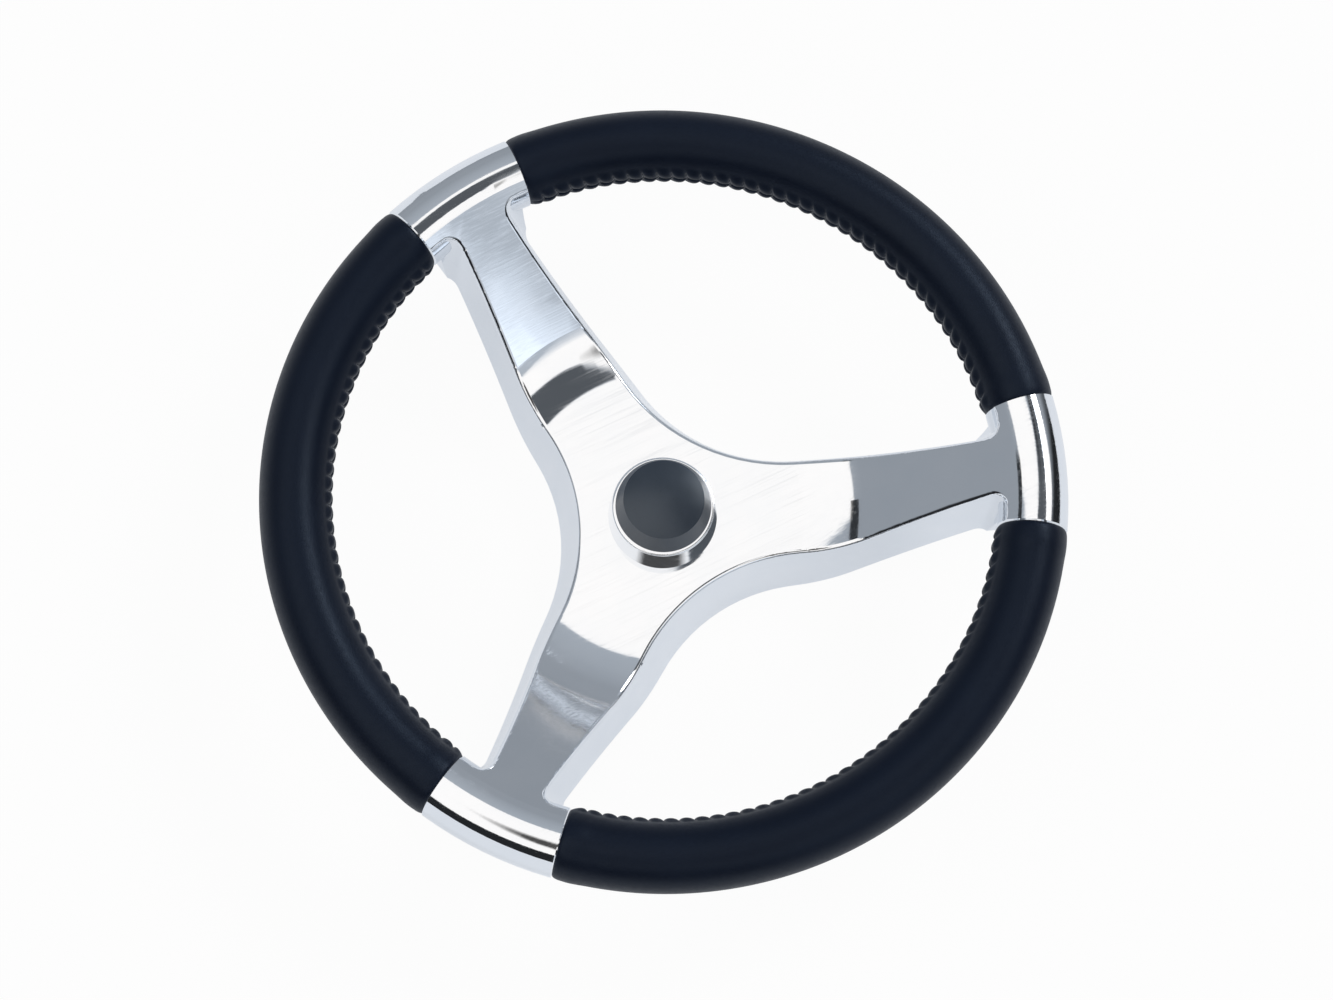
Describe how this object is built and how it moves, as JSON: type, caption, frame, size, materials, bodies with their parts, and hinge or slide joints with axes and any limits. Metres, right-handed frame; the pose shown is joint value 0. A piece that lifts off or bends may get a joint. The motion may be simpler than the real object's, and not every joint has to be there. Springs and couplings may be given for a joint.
{
  "type": "boat steering wheel",
  "caption": "Dished stainless boat steering wheel with a three-spoke casting, padded leather-stitched grips between polished rim sleeves, and a pull-off hub cap over a tapered shaft socket",
  "frame": {"origin": "centre of the hub's flat back face, where the shaft axis meets it", "axes": "+Z along the shaft axis towards the helmsman, +X along the centre line of the first spoke, +Y completes a right-handed set; the wheel lies on its hub with its face up"},
  "size_m": [0.343, 0.343, 0.0843],
  "materials": {
    "polished_stainless": "cast stainless steel, mirror polished",
    "cap_plastic": "moulded black plastic, satin",
    "o_ring_rubber": "black nitrile rubber",
    "grip_foam": "moulded closed-cell foam",
    "grip_leather": "smooth dyed leather, satin",
    "grip_thread": "waxed polyester thread"
  },
  "bodies": {
    "wheel": {"wheel_casting": "polished_stainless", "cap_collar": "polished_stainless", "upper_right_grip_padding": "grip_foam", "upper_right_grip_leather": "grip_leather", "upper_right_grip_stitching": "grip_thread", "left_grip_padding": "grip_foam", "left_grip_leather": "grip_leather", "left_grip_stitching": "grip_thread", "lower_right_grip_padding": "grip_foam", "lower_right_grip_leather": "grip_leather", "lower_right_grip_stitching": "grip_thread"},
    "cap": {"hub_cap": "cap_plastic", "hub_cap_o_ring": "o_ring_rubber"}
  },
  "joints": [
    {"name": "cap_pull_off", "type": "slide", "parent": "wheel", "child": "cap", "axis": [0, 0, 1], "range_m": [0, 0.03]}
  ]
}
